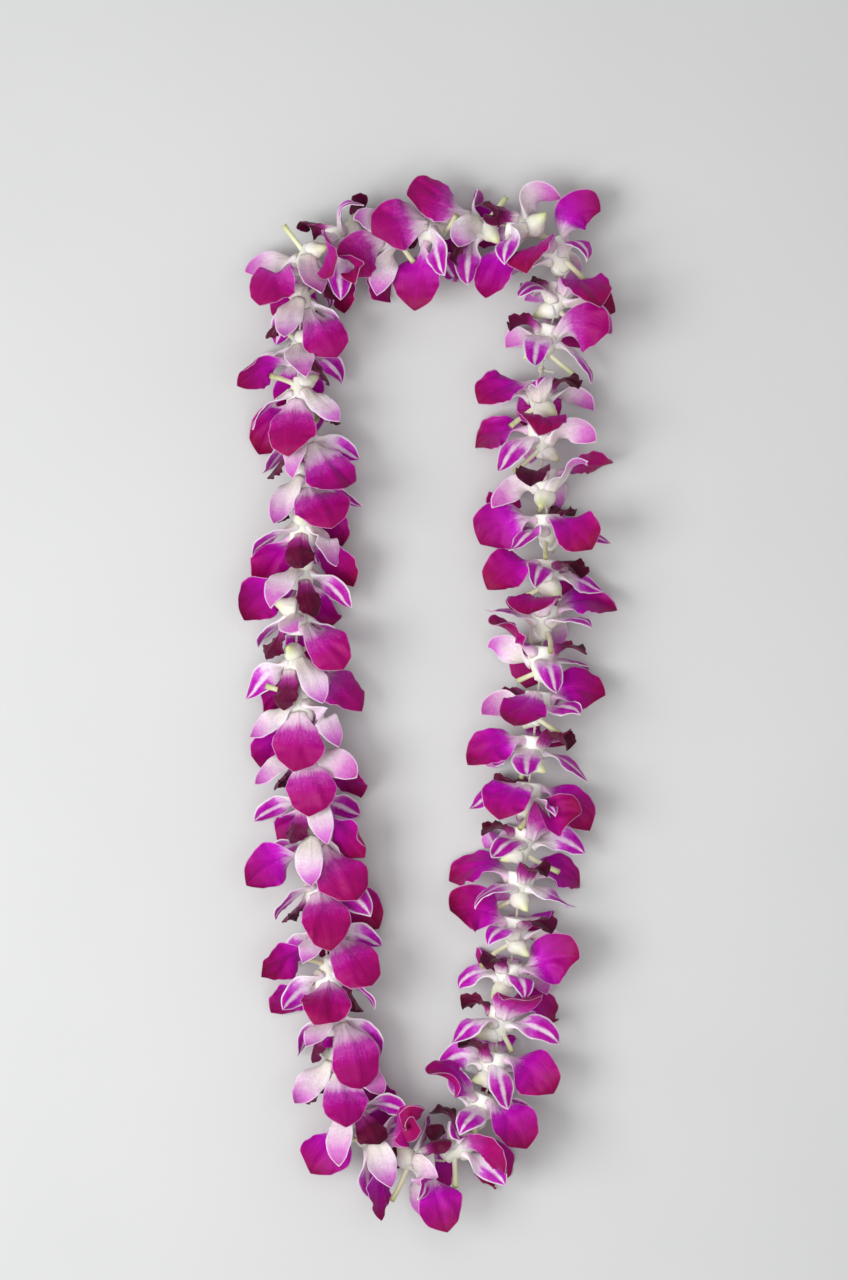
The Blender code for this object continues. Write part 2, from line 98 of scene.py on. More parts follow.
blade = dict(
    thickness=0.7, rootThickness=1.3, rootLift=0.6, steps=12, ripple=1.2, rippleRate=7.0,
    levelRate=2.5, steepShare=0.5,
)
weight = dict(sag=0.95, sagAtRoot=0.2, press=0.55, pressAtRoot=0.3)
chin = dict(
    side=4, length=8.5, shares=(0.55, 1.0), radii=(4.3, 2.4), shrinks="size",
    drawn=dict(size=(0.85, 1.1), lean=(0.0, 0.6), sway=(-0.4, 0.4)),
)
stalk = dict(
    side=1, shares=(0.2, 0.4, 0.4), radius=1.15, foot=0.25, shrinks="length",
    drawn=dict(length=(9.0, 19.0), lean=(-80, -25), sway=(-0.7, 0.7), bend=(-0.35, 0.35)),
)


# The strand and the seats of the blooms on it

def smoothBetween(a, b, c, d, t):
    bend, ease = 2 * a - 5 * b + 4 * c - d, 3 * b - a - 3 * c + d
    return b + (c - a) * (t / 2) + bend * (t * t / 2) + ease * (t ** 3 / 2)


def smoothLoop():
    route, steps = strand["route"], strand["steps"]
    curve = []
    for i in range(len(route)):
        four = [Vector((*route[(i + k - 1) % len(route)], strand["height"])) for k in range(4)]
        curve += [smoothBetween(*four, step / steps) for step in range(steps)]
    curve.append(curve[0].copy())
    runs = [0.0]
    for first, second in zip(curve, curve[1:]):
        runs.append(runs[-1] + (second - first).length)
    return curve, runs


def onLoop(loop, run):
    curve, runs = loop
    run %= runs[-1]
    low = min(bisect.bisect_right(runs, run), len(runs) - 1) - 1
    return curve[low].lerp(curve[low + 1], (run - runs[low]) / (runs[low + 1] - runs[low]))


def seatBlooms(loop):
    rng = random.Random(seating["seed"])
    pitch = (loop[1][-1] - strand["knotGap"]) / seating["blooms"]
    seats = []
    for i in range(seating["blooms"]):
        jitter = seating["pitchJitter"]
        run = (i + 0.5) * pitch + rng.uniform(-jitter, jitter)
        run += strand["knotGap"] * (i > strand["knotAfter"])
        reach, turn = strand["wayReach"], seating["rollJitter"]
        ahead = (onLoop(loop, run + reach) - onLoop(loop, run - reach)).normalized()
        roll = rng.choice(seating["rolls"]) + rng.uniform(-turn, turn)
        seats.append(dict(
            origin=onLoop(loop, run), ahead=ahead, side=upward.cross(ahead), roll=math.radians(roll),
        ))
    return seats


def around(seat, angle):
    return seat["side"] * math.cos(angle) + upward * math.sin(angle)


def funnelPoint(seat, place, radius, corner):
    angle = seat["roll"] + corner * math.tau / funnel["sides"]
    return seat["origin"] + seat["ahead"] * place + around(seat, angle) * radius


def funnelRings(seat, stations):
    return [funnelPoint(seat, *station, corner)
            for station in stations for corner in range(funnel["sides"])]


def sideWays(seat, side):
    # straight out of one side of the funnel, and across it
    out = around(seat, seat["roll"] + (side + 0.5) * math.tau / funnel["sides"])
    return out, seat["ahead"].cross(out)


def middleOf(quad):
    return sum(quad, Vector()) / 4.0


def halves(a, b, c, d):
    return [(a, b, c), (a, c, d)]


def funnelQuad(seat, side, band):
    back, front = funnel["stations"][band], funnel["stations"][band + 1]
    return [
        funnelPoint(seat, *front, side), funnelPoint(seat, *front, side + 1),
        funnelPoint(seat, *back, side), funnelPoint(seat, *back, side + 1),
    ]


# How a tepal leaves the funnel, bends and sags

def bladeWidth(kind, share):
    spec = tepals[kind]
    widest, root = spec["widest"], spec["root"]
    if share < widest:
        return root + (1.0 - root) * math.sin(share / widest * math.pi / 2)
    return max(0.0, 1.0 - ((share - widest) / (1.0 - widest)) ** 2) ** spec["tip"]


def drawPose(rng, kind, length):
    spec = tepals[kind]
    middle, spread = spec["lean"]
    turn, more = spec["curl"]
    return dict(
        length=length * spec["length"] * rng.uniform(*draws["length"]),
        width=length * spec["width"] * rng.uniform(*draws["width"]),
        lean=middle + spread * rng.uniform(-1, 1),
        curl=turn + more * rng.uniform(-1, 1),
        sway=spec["sway"] * rng.uniform(-1, 1),
        twist=spec["twist"] * rng.uniform(-1, 1),
        flat=rng.uniform(*spec["flat"]),
        faces=1.0 if rng.random() < spec["facing"] else -1.0,
        cup=spec["cup"] * rng.uniform(*draws["cup"]),
        wave=rng.uniform(-1, 1),
    )


def tepalSpine(seat, side, band, pose):
    ahead, (out, across) = seat["ahead"], sideWays(seat, side)
    point = middleOf(funnelQuad(seat, side, band)) + out * blade["rootLift"]
    frames = []
    for step in range(blade["steps"] + 1):
        share = step / blade["steps"]
        lean = math.radians(pose["lean"] + pose["curl"] * share)
        heading = out * math.cos(lean) + ahead * math.sin(lean) + across * pose["sway"] * share
        heading.z *= 1.0 - (1.0 - weight["press"]) * min(1.0, weight["pressAtRoot"] + share)
        heading.y -= weight["sag"] * (weight["sagAtRoot"] + share)
        heading.normalize()
        broad = (across - heading * across.dot(heading)).normalized()
        level = upward.cross(heading)
        if abs(level.dot(broad)) > blade["steepShare"] * level.length:
            level *= math.copysign(1.0, level.dot(broad))
        else:
            level *= pose["faces"]
        turned = pose["flat"] * min(1.0, blade["levelRate"] * share) * level.length
        wide = broad + (level - broad) * turned
        wide = (wide - heading * wide.dot(heading)).normalized()
        wide.rotate(Matrix.Rotation(math.radians(pose["twist"]) * share, 3, heading))
        frames.append((point.copy(), wide, heading.cross(wide)))
        point = point + heading * (pose["length"] / blade["steps"])
    return frames


def spineFrame(frames, share):
    place = min(share * blade["steps"], blade["steps"] - 1e-6)
    step = int(place)
    return [a.lerp(b, place - step) for a, b in zip(frames[step], frames[step + 1])]


def bladeRow(frames, kind, pose, share, swell):
    point, wide, normal = spineFrame(frames, share)
    half = pose["width"] / 2.0 * bladeWidth(kind, share)
    thick = (blade["thickness"] + blade["rootThickness"] * (1.0 - share) ** 3) / 2.0 + swell
    lift = pose["cup"] * bladeWidth(kind, share) * math.sin(share * math.pi / 2)
    front, back = [], []
    for column in ((-1, 0, 1) if half > 0.01 else (0,)):
        ripple = blade["ripple"] * pose["wave"] * column * math.sin(blade["rippleRate"] * share)
        middle = point + wide * (half * column) + normal * (lift * abs(column) + ripple)
        outward = normal
        if middle.z < thick - swell:
            middle.z = thick - swell
            outward = upward if normal.z >= 0.0 else -upward
        front.append(middle + outward * thick)
        back.append(middle - outward * thick)
    return front, back


def bladePoints(seat, side, band, kind, pose, swell=0.0):
    frames = tepalSpine(seat, side, band, pose)
    points = funnelQuad(seat, side, band)
    for share in (*tepals[kind]["rows"], 1.0):
        front, back = bladeRow(frames, kind, pose, share, swell)
        points += front + back
    return points


def bladeFaces(rowCount):
    front, back = (4, 5, 6), (7, 8, 9)
    faces = []
    for (left, right), row in (((0, 1), front), ((2, 3), back)):
        faces += [(left, row[0], row[1]), (left, row[1], right), (right, row[1], row[2])]
    faces += halves(0, 2, back[0], front[0]) + halves(1, 3, back[2], front[2])
    rootCount = len(faces)
    for row in range(1, rowCount):
        nextFront, nextBack = ([corner + 6 for corner in line] for line in (front, back))
        for a, b in ((front, nextFront), (back, nextBack)):
            faces += halves(a[0], a[1], b[1], b[0]) + halves(a[2], b[2], b[1], a[1])
        for edge in (0, 2):
            faces += halves(front[edge], nextFront[edge], nextBack[edge], back[edge])
        front, back = nextFront, nextBack
    tip, under = back[2] + 1, back[2] + 2
    faces += [(front[0], front[1], tip), (front[1], front[2], tip)]
    faces += [(back[0], back[1], under), (back[1], back[2], under)]
    for edge in (0, 2):
        faces += halves(front[edge], tip, under, back[edge])
    return faces, rootCount


# The chin, the stalk and the test for what crosses what

def tubePoints(quad, stations):
    points = list(quad)
    spokes = [corner - middleOf(quad) for corner in quad]
    for point, radius, way in stations:
        for spoke in spokes:
            flat = spoke - way * spoke.dot(way)
            points.append(point + flat.normalized() * radius)
    return points


def tubeFaces(ringCount):
    faces = []
    for ring in range(ringCount):
        low, high = 4 * ring, 4 * (ring + 1)
        for a, b in ((0, 1), (1, 3), (3, 2), (2, 0)):
            faces += halves(low + a, low + b, high + b, high + a)
    return faces + halves(high, high + 1, high + 3, high + 2), 8


def drawRound(rng, form, size):
    pose = {name: rng.uniform(*ends) for name, ends in form["drawn"].items()}
    pose[form["shrinks"]] *= size
    return pose


def chinStations(seat, pose, swell=0.0):
    quad = funnelQuad(seat, chin["side"], 0)
    out, across = sideWays(seat, chin["side"])
    way = (out - seat["ahead"] * pose["lean"] + across * pose["sway"]).normalized()
    start = middleOf(quad)
    stations = []
    for share, radius in zip(chin["shares"], chin["radii"]):
        reach = chin["length"] * share * pose["size"]
        stations.append((start + way * reach, radius * pose["size"] + swell, way))
    return quad, stations


def stalkStations(seat, pose, swell=0.0):
    quad = funnelQuad(seat, stalk["side"], 0)
    out, across = sideWays(seat, stalk["side"])
    lean = math.radians(pose["lean"])
    point = middleOf(quad)
    stations = []
    for share in stalk["shares"]:
        way = out * math.cos(lean) + seat["ahead"] * math.sin(lean)
        way = (way + across * pose["sway"] + out * pose["bend"] * len(stations)).normalized()
        point = point + way * (pose["length"] * share)
        stations.append((point, stalk["radius"] + swell + stalk["foot"] * (not stations), way))
    return quad, stations


def treeOf(points, faces):
    return BVHTree.FromPolygons(points, faces, all_triangles=True)


def ringGap(first, second):
    gap = abs(first - second)
    return min(gap, seating["blooms"] - gap)


def crosses(index, organ, placed):
    whole, bladeOnly = organ
    for other, otherWhole, otherBlade, isFunnel in placed:
        if ringGap(index, other) > seating["neighbours"]:
            continue
        if other == index and isFunnel:
            if bladeOnly.overlap(otherBlade):
                return True
        elif other == index:
            if bladeOnly.overlap(otherWhole) or whole.overlap(otherBlade):
                return True
        elif whole.overlap(otherWhole):
            return True
    return False


def funnelGuard(seat, room):
    (back, _), (front, _) = funnel["stations"][0], funnel["stations"][-1]
    bare = strand["radius"] + seating["clearance"]
    stations = [(back - funnel["guardReach"], bare), (back, bare)]
    stations += [(place, radius + room) for place, radius in funnel["stations"]]
    stations += [(front, bare), (front + funnel["guardReach"], bare)]
    sides, faces = funnel["sides"], []
    for band in range(len(stations) - 1):
        for corner in range(sides):
            a, b = (band * sides + (corner + more) % sides for more in (0, 1))
            faces += halves(a, b, b + sides, a + sides)
    return funnelRings(seat, stations), faces


def placeOrgan(rng, index, draw, kind, pointsOf, faces, rootCount, placed):
    size = 1.0
    for attempt in range(1, seating["mostTries"]):
        pose = draw(rng, kind, size)
        points = pointsOf(pose)
        organ = (treeOf(points, faces), treeOf(points, faces[rootCount:]))
        low = min(point.z for point in points[4:])
        if low > -seating["clearance"] - seating["lowSlack"] and not crosses(index, organ, placed):
            placed.append((index, *organ, False))
            return pose
        if attempt % seating["tries"] == 0:
            size *= seating["shorten"]
    raise ValueError(f"bloom {index + 1} has no clear place for an organ")


def knotPlace(seats):
    seat, after = seats[strand["knotAfter"]], seats[strand["knotAfter"] + 1]
    start = seat["origin"] + seat["ahead"] * (funnel["stations"][-1][0] + funnel["threadReach"])
    end = after["origin"] + after["ahead"] * (funnel["stations"][0][0] - funnel["threadReach"])
    return (start + end) / 2, (end - start).normalized()


def tailWay(way, side):
    angle = math.radians(60 * side + 30)
    return upward.cross(way) * math.cos(angle) + upward * math.sin(angle)


def tailGuard(seats, side):
    middle, way = knotPlace(seats)
    out = tailWay(way, side)
    across = way.cross(out)
    room = strand["tailRoom"]
    quad = [middle + across * a * room + way * b * room
            for a, b in ((-1, 1), (1, 1), (-1, -1), (1, -1))]
    reach = strand["knotRadius"] + strand["tailLength"] + seating["clearance"]
    return tubePoints(quad, [(middle + out * reach, strand["tailRoomEnd"] * room, out)])


def arrange(seats):
    rng = random.Random(seating["seed"] + 1)
    placed, plans = [], []
    swell = seating["clearance"]
    for index, seat in enumerate(seats):
        own = treeOf(*funnelGuard(seat, 0.0))
        roomy = treeOf(*funnelGuard(seat, funnel["rootRoom"]))
        placed.append((index, roomy, own, True))
        plans.append({})
    for side in strand["tailSides"]:
        room = treeOf(tailGuard(seats, side), tubeFaces(1)[0])
        placed.append((strand["knotAfter"], room, room, False))
    for kinds in (("lip",), ("petal", "sepal")):
        for index, seat in enumerate(seats):
            if "lip" in kinds:
                plans[index]["chin"] = placeOrgan(
                    rng, index, drawRound, chin,
                    lambda pose: tubePoints(*chinStations(seat, pose, swell)), *tubeFaces(2), placed,
                )
            for side, band, kind in organs:
                if kind in kinds:
                    plans[index][side, band] = placeOrgan(
                        rng, index, drawPose, kind,
                        lambda pose: bladePoints(seat, side, band, kind, pose, swell),
                        *bladeFaces(len(tepals[kind]["rows"])), placed,
                    )
    for index, seat in enumerate(seats):
        plans[index]["stalk"] = placeOrgan(
            rng, index, drawRound, stalk,
            lambda pose: tubePoints(*stalkStations(seat, pose, swell)), *tubeFaces(3), placed,
        )
    return plans


def asArray(points):
    return np.array([tuple(point) for point in points])


def plainCorners(seat, plan):
    # every corner of one plain bloom, to lay the drawn rule over the frame
    points = funnelRings(seat, funnel["stations"])
    for side, band, kind in organs:
        points += bladePoints(seat, side, band, kind, plan[side, band])
    points += tubePoints(*chinStations(seat, plan["chin"]))
    points += tubePoints(*stalkStations(seat, plan["stalk"]))
    return asArray(points)


seats = seatBlooms(smoothLoop())
plans = arrange(seats)
firstLow = plainCorners(seats[0], plans[0]).min(axis=0)
shift = firstLow - np.array(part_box("bloom_01")[0]) / mm
worst = 0.0
for index in range(seating["blooms"]):
    corners = (plainCorners(seats[index], plans[index]) - shift) * mm
    drawn = [corners.min(axis=0), corners.max(axis=0)]
    worst = max(worst, np.abs(np.subtract(drawn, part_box(f"bloom_{index + 1:02d}"))).max())
print("rule drawn, shift", np.round(shift, 3))
print("largest difference from the frame in mm", round(worst / mm, 4))
for kind in tepals:
    drawn = [plan[side, band]["length"]
             for plan in plans for side, band, other in organs if other == kind]
    drawn = np.round([min(drawn), max(drawn), np.mean(drawn)], 1)
    print(kind, "lengths in mm, least, most and mean", drawn)


# Looks. Each finish is what the real tissue is, with its colours as sRGB hex, save the pale margin line
# of the tepals, which is painted highlight.

def paint(hexCode):
    parts = [int(hexCode[i:i + 2], 16) / 255.0 for i in (1, 3, 5)]
    linear = [p / 12.92 if p <= 0.04045 else ((p + 0.055) / 1.055) ** 2.4 for p in parts]
    return (*linear, 1.0)


def setAll(thing, settings):
    for name, value in settings.items():
        setattr(thing, name, value)


def fillSockets(node, values):
    # a socket gets its value, or a link where the value is another node's socket
    for name, value in values.items() if isinstance(values, dict) else enumerate(values):
        if isinstance(value, bpy.types.NodeSocket):
            node.id_data.links.new(value, node.inputs[name])
        else:
            node.inputs[name].default_value = value


def addNode(tree, kind, settings={}, inputs=(), stops=(), out=0):
    node = tree.nodes.new("ShaderNode" + kind)
    setAll(node, settings)
    fillSockets(node, inputs)
    if stops:
        ramp = node.color_ramp
        while len(ramp.elements) < len(stops):
            ramp.elements.new(1.0)
        for element, (place, colour) in zip(ramp.elements, stops):
            element.position = place
            element.color = paint(colour)
    return node.outputs[out]


def startMaterial(name):
    material = bpy.data.materials.new(name)
    material.use_nodes = True
    tree = material.node_tree
    return material, functools.partial(addNode, tree), tree.nodes["Principled BSDF"]


def organPlace(add):
    organMap = add("UVMap", {"uv_map": "organMap"})
    return add("SeparateXYZ", inputs=[organMap]).node.outputs[:2]


multiply = {"operation": "MULTIPLY"}
multiplyAdd = {"operation": "MULTIPLY_ADD"}
subtract = {"operation": "SUBTRACT"}
colourMix = {"data_type": "RGBA"}
middling = (0.3, 0.7)    # where most of a noise lies

# Live petal tissue: a velvety, faintly see-through skin over watery cells. Colour comes in along the
# length from a white claw, in streaks that follow the veins. The thin pale line along the margin is
# painted highlight, where the edge catches the light.
# Reach is how far streaks, the tepal's own tint and clouds move that colour, in shares of its length.
tissues = {
    "petal": dict(
        name="orchidPetalTissue", veins=30, reach=(0.20, 0.12, 0.08), rimHighlightWidth=0.45, rimHighlightMix=0.6,
        front=((0.0, "#F4EEE8"), (0.10, "#ECD2E6"), (0.19, "#C44CBE"), (0.29, "#B40AA2"),
               (0.46, "#A6007E"), (0.72, "#940052"), (1.0, "#7C023A")),
        back=((0.0, "#EAE2DC"), (0.11, "#E2C4DA"), (0.22, "#B84CA4"), (0.46, "#A0106C"),
              (1.0, "#8E0C4E")),
        across=((0.0, "#FFFFFF"), (0.9, "#FFFFFF"), (1.0, "#D0D0D0")),
        pale="#E8D2E4", rimHighlight="#DDA8D4", midrib="#D070BC", midribMix=0.14, midribReach=0.08,
        deep="#66043C", roughness=0.48, sheen=0.02, seeThrough=0.16,
    ),
    "sepal": dict(
        name="orchidSepalTissue", veins=20, reach=(0.26, 0.16, 0.18), rimHighlightWidth=0.85, rimHighlightMix=0.55,
        front=((0.0, "#F0EEE2"), (0.20, "#ECDCE8"), (0.33, "#C858C4"), (0.48, "#B01CA2"),
               (0.86, "#A8189A"), (0.96, "#D8A8D0"), (1.0, "#DCD8B0")),
        back=((0.0, "#ECE8DA"), (0.32, "#E6D4DE"), (0.60, "#CE80C4"), (0.90, "#B452A4"),
              (1.0, "#D8C8B4")),
        across=((0.0, "#505050"), (0.08, "#A0A0A0"), (0.17, "#FFFFFF"), (0.68, "#F8F8F8"),
                (0.88, "#707070"), (1.0, "#181818")),
        pale="#EBDDE8", rimHighlight="#F0E4EC", midrib="#E8CEE4", midribMix=0.5, midribReach=0.22,
        deep="#8E1074", roughness=0.48, sheen=0.03, seeThrough=0.35,
    ),
    "lip": dict(
        name="orchidLipTissue", veins=18, reach=(0.22, 0.12, 0.10), rimHighlightWidth=0.3, rimHighlightMix=0.25,
        front=((0.0, "#E8D8E0"), (0.10, "#B04CA0"), (0.20, "#740E46"), (0.40, "#4E0428"),
               (1.0, "#3A0319")),
        back=((0.0, "#E4D8D8"), (0.15, "#A04088"), (0.32, "#620838"), (1.0, "#460424")),
        across=((0.0, "#FFFFFF"), (1.0, "#F0F0F0")),
        pale="#8A2060", rimHighlight="#8C2C66", midrib="#3C0420", midribMix=0.4, midribReach=0.07,
        deep="#2C0212", roughness=0.5, sheen=0.1, seeThrough=0.1,
    ),
}
skin = dict(
    # noises as times per metre, detail and roughness; real cells are finer than these
    clouds=(260, 3.0, 0.5), velvet=(850, 3.0, 0.7), cells=(1500, 2.0, 0.5),
    streakRun=2.6, streakApart=37.0,   # along one tepal, and from one tepal to the next
    hues=(0.488, 0.509), values=(0.83, 1.17), fades=(1.16, 0.99), velvetShare=0.9,
    shadings=(0.65, 1.25), deepAt=(0.45, 0.75), deepMix=0.45,
    edgeWander=0.24, ribWander=0.30, roughSpread=(-0.06, 0.08), cellHeight=0.35,
    bump=0.45, bumpDepth=0.5, glow=(1.0, 0.35, 0.7), glowReach=1.8,
)


def tepalMaterial(look):
    material, add, shader = startMaterial(look["name"])
    across, length = organPlace(add)
    front, margin, tint = (add("Attribute", {"attribute_name": name}, out="Fac")
                           for name in ("front", "margin", "tint"))
    fromMidrib = add("Math", multiplyAdd, (across, 2.0, -1.0))
    edge = add("Math", {"operation": "ABSOLUTE"}, [fromMidrib])
    # streaks run with the veins, so they are stretched along the tepal
    place = add("CombineXYZ", inputs=(across, length, tint))
    stretch = (look["veins"], skin["streakRun"], skin["streakApart"])
    streakAt = add("VectorMath", multiply, (place, stretch))
    streaks = add("TexNoise", inputs={
        "Vector": streakAt, "Scale": 1.0, "Detail": 4.0, "Roughness": 0.6})
    object_ = add("TexCoord", out="Object")
    clouds, velvet, cells = (
        add("TexNoise", inputs={
            "Vector": object_, "Scale": scale, "Detail": detail, "Roughness": rough})
        for scale, detail, rough in (skin["clouds"], skin["velvet"], skin["cells"]))
    along = length
    for pattern, reach in zip((streaks, tint, clouds), look["reach"]):
        along = add("Math", multiplyAdd, (pattern, reach, along))
    along = add("Math", subtract, (along, sum(look["reach"]) / 2))
    frontColour, backColour = (add("ValToRGB", inputs=[along], stops=look[side])
                               for side in ("front", "back"))
    moved = []
    for pattern, wander in ((clouds, skin["edgeWander"]), (streaks, skin["ribWander"])):
        inset = add("Math", subtract, (edge, wander / 2))
        moved.append(add("Math", multiplyAdd, (pattern, wander, inset)))
    patch = add("ValToRGB", inputs=[moved[0]], stops=look["across"])
    deep = add("MapRange", inputs=(clouds, *skin["deepAt"], 0.0, skin["deepMix"]))
    deep = add("Math", multiply, (deep, length))
    rib = add("MapRange", inputs=(moved[1], 0.01, look["midribReach"], look["midribMix"], 0.0))
    colour = add("Mix", colourMix, {0: patch, 6: paint(look["pale"]), 7: frontColour}, out=2)
    for share, over in ((deep, "deep"), (rib, "midrib")):
        colour = add("Mix", colourMix, {0: share, 6: colour, 7: paint(look[over])}, out=2)
    colour = add("Mix", colourMix, {0: front, 6: backColour, 7: colour}, out=2)
    # no two tepals have quite the same hue, and velvet shows as paler and darker specks
    hue = add("MapRange", inputs=(tint, 0.0, 1.0, *skin["hues"]))
    shading = add("Math", multiplyAdd, (velvet, skin["velvetShare"], streaks))
    value, fade = (
        add("MapRange", inputs=(shading, *skin["shadings"], *ends))
        for ends in (skin["values"], skin["fades"]))
    colour = add("HueSaturation", inputs={
        "Hue": hue, "Saturation": fade, "Value": value, "Color": colour})
    # the pale line along the margin is a painted highlight, where the thin edge catches the light
    width = look["rimHighlightWidth"]
    rimHighlight = add("MapRange", inputs=(margin, width * 0.4, width, look["rimHighlightMix"], 0.0))
    height = add("Math", multiplyAdd, (cells, skin["cellHeight"], streaks))
    low, high = (look["roughness"] + spread for spread in skin["roughSpread"])
    colour = add("Mix", colourMix, {0: rimHighlight, 6: colour, 7: paint(look["rimHighlight"])}, out=2)
    fillSockets(shader, {
        "Base Color": colour,
        "Roughness": add("MapRange", inputs=(cells, *middling, low, high)),
        "Normal": add("Bump", inputs={
            "Strength": skin["bump"], "Distance": skin["bumpDepth"] * mm, "Height": height}),
        "Subsurface Weight": look["seeThrough"], "Subsurface Radius": skin["glow"],
        "Subsurface Scale": skin["glowReach"] * mm, "Sheen Weight": look["sheen"],
        "Sheen Roughness": 0.45, "IOR": 1.38, "Specular IOR Level": 0.22,
    })
    return material


# Waxy tissue of the fused base, the chin and the cut stalk: smooth, watery and almost white, greener
# towards its far end.
waxes = {
    "base": dict(
        name="orchidBaseTissue", roughness=0.38, seeThrough=0.35,
        along=((0.0, "#E4E6C8"), (0.22, "#EEEDDC"), (0.6, "#F6F4EC"), (1.0, "#F2E8EC")),
        vein="#D2DAAC", veinMix=0.35,
    ),
    "chin": dict(
        name="orchidChinTissue", roughness=0.36, seeThrough=0.35,
        along=((0.0, "#F0ECE6"), (0.5, "#ECEADA"), (0.8, "#DFE3BC"), (1.0, "#C8D08E")),
        vein="#CCD4A2", veinMix=0.45,
    ),
    "stalk": dict(
        name="orchidStalkTissue", roughness=0.42, seeThrough=0.2,
        along=((0.0, "#ECEAD8"), (0.5, "#E6E4C4"), (0.86, "#D4D8A6"), (0.97, "#BEC48A"),
               (1.0, "#A69E6C")),
        vein="#C6CC98", veinMix=0.4,
    ),
}
wax = dict(clouds=330, cloudReach=0.2, veins=24.0, veinAt=(0.5, 0.7), roughSpread=(-0.05, 0.08),
           bump=0.25, bumpDepth=0.3, glow=(1.0, 0.9, 0.5), glowReach=2.0)


def waxMaterial(look):
    material, add, shader = startMaterial(look["name"])
    turn, length = organPlace(add)
    object_ = add("TexCoord", out="Object")
    clouds = add("TexNoise", inputs={"Vector": object_, "Scale": wax["clouds"], "Detail": 3.0})
    along = add("Math", multiplyAdd, (clouds, wax["cloudReach"], length))
    along = add("Math", subtract, (along, wax["cloudReach"] / 2))
    ground = add("ValToRGB", inputs=[along], stops=look["along"])
    streakX = add("Math", multiply, (turn, wax["veins"]))
    streakAt = add("CombineXYZ", inputs=(streakX, length))
    streaks = add("TexNoise", inputs={"Vector": streakAt, "Scale": 1.0, "Detail": 3.0})
    share = add("MapRange", inputs=(streaks, *wax["veinAt"], 0.0, look["veinMix"]))
    low, high = (look["roughness"] + spread for spread in wax["roughSpread"])
    colour = add("Mix", colourMix, {0: share, 6: ground, 7: paint(look["vein"])}, out=2)
    fillSockets(shader, {
        "Base Color": colour,
        "Roughness": add("MapRange", inputs=(clouds, *middling, low, high)),
        "Normal": add("Bump", inputs={
            "Strength": wax["bump"], "Distance": wax["bumpDepth"] * mm, "Height": streaks}),
        "Subsurface Weight": look["seeThrough"], "Subsurface Radius": wax["glow"],
        "Subsurface Scale": wax["glowReach"] * mm, "IOR": 1.4,
    })
    return material


# Cotton string: two plies of matt fibre laid round each other, cream rather than white.
cotton = dict(
    name="twistedCotton", ground="#E2DCCB", shade="#B9AF98", patch=3333.3, patchDetail=4.0,
    grain=3333.3, grainDetail=4.0, bump=0.6, bumpDepth=0.2, roughness=0.9, sheen=0.3,
)
# Matt painted plaster under the lei, with the faint unevenness of a rolled coat.
plaster = dict(
    name="mattPaintedPlaster", ground="#D2D2D0", shade="#CCCCCB", patch=9, patchDetail=2.0,
    grain=400, grainDetail=3.0, bump=0.12, bumpDepth=0.3, roughness=0.92, sheen=0.0,
)


def mattMaterial(look):
    material, add, shader = startMaterial(look["name"])
    object_ = add("TexCoord", out="Object")
    patches, grain = (
        add("TexNoise", inputs={
            "Vector": object_, "Scale": look[part], "Detail": look[part + "Detail"]})
        for part in ("patch", "grain"))
    colour = add("Mix", colourMix, {
        0: patches, 6: paint(look["shade"]), 7: paint(look["ground"])}, out=2)
    fillSockets(shader, {
        "Base Color": colour, "Roughness": look["roughness"], "Sheen Weight": look["sheen"],
        "Normal": add("Bump", inputs={
            "Strength": look["bump"], "Distance": look["bumpDepth"] * mm, "Height": grain}),
    })
    return material


finishes = {kind: tepalMaterial(look) for kind, look in tissues.items()}
finishes.update({kind: waxMaterial(look) for kind, look in waxes.items()})
print("materials made")


# Blanks: each organ is modelled once, flat and in shares of its size, and every copy is bent later

def setMode(mode):
    bpy.ops.object.mode_set(mode=mode)


def deselectAll():
    if bpy.context.mode != "OBJECT":
        setMode("OBJECT")
    bpy.ops.object.select_all(action="DESELECT")


def selectOnly(piece):
    deselectAll()
    piece.select_set(True)
    bpy.context.view_layer.objects.active = piece


def applyModifier(piece, kind, settings):
    selectOnly(piece)
    modifier = piece.modifiers.new(kind, kind)
    setAll(modifier, settings)
    bpy.ops.object.modifier_apply(modifier=modifier.name)


def selectWhere(piece, test):
    # picks vertices in object mode, by place, and leaves edit mode open on them
    setMode("EDIT")
    bpy.ops.mesh.select_mode(type="VERT")
    bpy.ops.mesh.select_all(action="DESELECT")
    setMode("OBJECT")
    for vertex in piece.data.vertices:
        vertex.select = test(vertex.co)
    setMode("EDIT")


def shadeSmooth(piece):
    piece.data.polygons.foreach_set("use_smooth", [True] * len(piece.data.polygons))


def giveFinish(piece, material):
    piece.data.materials.clear()
    piece.data.materials.append(material)


blanks = dict(
    petal=(20, 34), sepal=(12, 28), lip=(22, 26),   # cells across and along
    crowd=1.6, crowdAcross=0.35,   # how strongly rows crowd to the tip and columns to the margins
    round=24, rounds=(("funnel", 26, False), ("chin", 12, True), ("stalk", 16, True)),
)


def crowdCells(blank, axis, count, place):
    # each line of cells goes to its place, parked overhead until the last is set
    for line in range(1, count):
        there = line / count * 2 - 1
        selectWhere(blank, lambda co: abs(co[axis] - there) < 0.2 / count and co.z < 0.5)
        move = [0.0, 0.0, 1.0]
        move[axis] = place(line / count) - there
        bpy.ops.transform.translate(value=move)
    selectWhere(blank, lambda co: co.z > 0.5)
    bpy.ops.transform.translate(value=(0, 0, -1))


